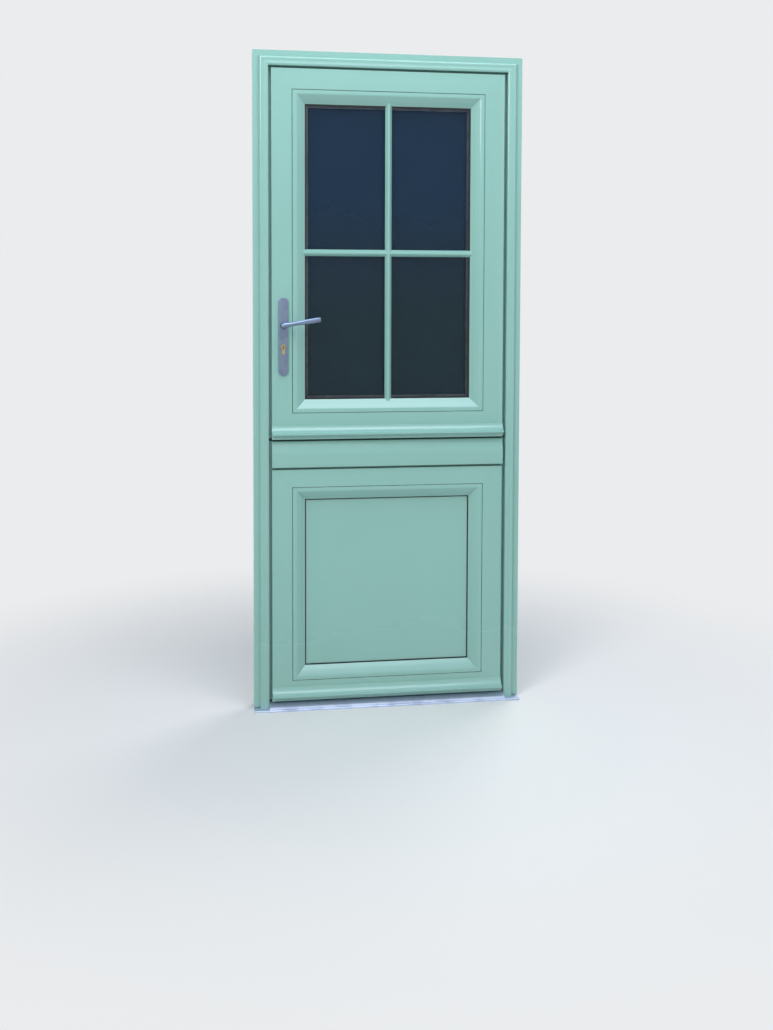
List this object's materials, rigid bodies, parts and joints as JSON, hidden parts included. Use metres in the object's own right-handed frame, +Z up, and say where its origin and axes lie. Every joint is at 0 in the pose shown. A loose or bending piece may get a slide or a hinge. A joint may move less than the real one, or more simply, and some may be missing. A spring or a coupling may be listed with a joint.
{
  "type": "stable door",
  "caption": "Stable door in its frame: a glazed upper leaf over a panelled lower leaf, each opening inwards, with lever handle, lock, drip rails and a low threshold.",
  "frame": {"origin": "middle of the threshold's underside, half-way through the depth of the frame's jambs", "axes": "+X along the wall towards the hinges, +Y into the building, +Z up; the outer face looks along -Y"},
  "size_m": [0.9, 0.191, 2.175],
  "materials": {
    "painted_profile": "satin powder coat, pale green",
    "infill_panel": "satin pale green skin over an insulating core",
    "threshold_metal": "satin mill finish",
    "glass": "clear double glazing",
    "seal": "black weather seal",
    "spacer_metal": "dull",
    "handle_metal": "satin anodised",
    "hardware_steel": "satin",
    "brass": "satin",
    "cleat_metal": "cast"
  },
  "bodies": {
    "frame": {"hinge_jamb": "painted_profile", "lock_jamb": "painted_profile", "frame_head": "painted_profile", "threshold": "threshold_metal", "frame_gasket": "seal", "lock_keep": "hardware_steel", "side_bolt_keep": "hardware_steel", "frame_hinge_1": "hardware_steel", "frame_hinge_2": "hardware_steel", "frame_hinge_3": "hardware_steel", "frame_hinge_4": "hardware_steel", "hinge_pins": "hardware_steel"},
    "lower_leaf": {"lower_hinge_stile": "painted_profile", "lower_lock_stile": "painted_profile", "lower_top_rail": "painted_profile", "lower_bottom_rail": "painted_profile", "lower_panel": "infill_panel", "lower_gaskets": "seal", "lower_beads": "painted_profile", "lower_drip_rail": "painted_profile", "meeting_rail": "painted_profile", "meeting_rail_caps": "painted_profile", "leaf_hinge_1": "hardware_steel", "leaf_hinge_2": "hardware_steel", "side_bolt_plate": "hardware_steel", "coupling_bolt_plate": "hardware_steel", "lower_leaf_cleats": "cleat_metal", "bottom_brush": "seal"},
    "side_bolt": {"side_bolt": "hardware_steel"},
    "coupling_bolt": {"coupling_bolt": "hardware_steel"},
    "upper_leaf": {"upper_hinge_stile": "painted_profile", "upper_lock_stile": "painted_profile", "upper_top_rail": "painted_profile", "upper_bottom_rail": "painted_profile", "glass_panes": "glass", "glazing_spacer": "spacer_metal", "edge_sealant": "seal", "meeting_seal": "seal", "upper_gaskets": "seal", "upper_beads": "painted_profile", "outer_glazing_bars": "painted_profile", "inner_glazing_bars": "painted_profile", "upper_drip_rail": "painted_profile", "leaf_hinge_3": "hardware_steel", "leaf_hinge_4": "hardware_steel", "lock_case": "hardware_steel", "lock_faceplate": "hardware_steel", "cylinder_body": "brass", "outer_handle_plate": "handle_metal", "inner_handle_plate": "handle_metal", "coupling_bolt_keep": "hardware_steel", "upper_leaf_cleats": "cleat_metal"},
    "handle": {"outer_lever": "handle_metal", "inner_lever": "handle_metal", "lever_spindle": "hardware_steel"},
    "latch_bolt": {"latch_bolt": "hardware_steel"},
    "dead_bolt": {"dead_bolt": "hardware_steel"},
    "cylinder_plug": {"cylinder_plug": "brass"}
  },
  "joints": [
    {"name": "lower_leaf_hinge", "type": "hinge", "parent": "frame", "child": "lower_leaf", "pos_m": [0.436, 0.05, 0.42], "axis": [0, 0, -1], "range_deg": [0, 90]},
    {"name": "upper_leaf_hinge", "type": "hinge", "parent": "lower_leaf", "child": "upper_leaf", "pos_m": [0.436, 0.05, 1.53], "axis": [0, 0, -1], "range_deg": [0, 90]},
    {"name": "lever_turn", "type": "hinge", "parent": "upper_leaf", "child": "handle", "pos_m": [-0.352, 0.008, 1.282], "axis": [0, 1, 0], "range_deg": [0, 45], "stiffness_Nm_per_rad": 0.6, "springref_deg": -34.38},
    {"name": "latch_slide", "type": "slide", "parent": "upper_leaf", "child": "latch_bolt", "axis": [1, 0, 0], "range_m": [0, 0.012]},
    {"name": "key_turn", "type": "hinge", "parent": "upper_leaf", "child": "cylinder_plug", "pos_m": [-0.352, 0.008, 1.21], "axis": [0, 1, 0], "range_deg": [0, 360]},
    {"name": "deadbolt_slide", "type": "slide", "parent": "upper_leaf", "child": "dead_bolt", "axis": [-1, 0, 0], "range_m": [0, 0.02]},
    {"name": "side_bolt_slide", "type": "slide", "parent": "lower_leaf", "child": "side_bolt", "axis": [-1, 0, 0], "range_m": [0, 0.022]},
    {"name": "coupling_bolt_slide", "type": "slide", "parent": "lower_leaf", "child": "coupling_bolt", "axis": [0, 0, 1], "range_m": [0, 0.028]}
  ],
  "couplings": [
    {"joint": "latch_slide", "follows": "lever_turn", "m_per_rad": 0.01527},
    {"joint": "key_turn", "follows": "deadbolt_slide", "rad_per_m": 314.16}
  ]
}
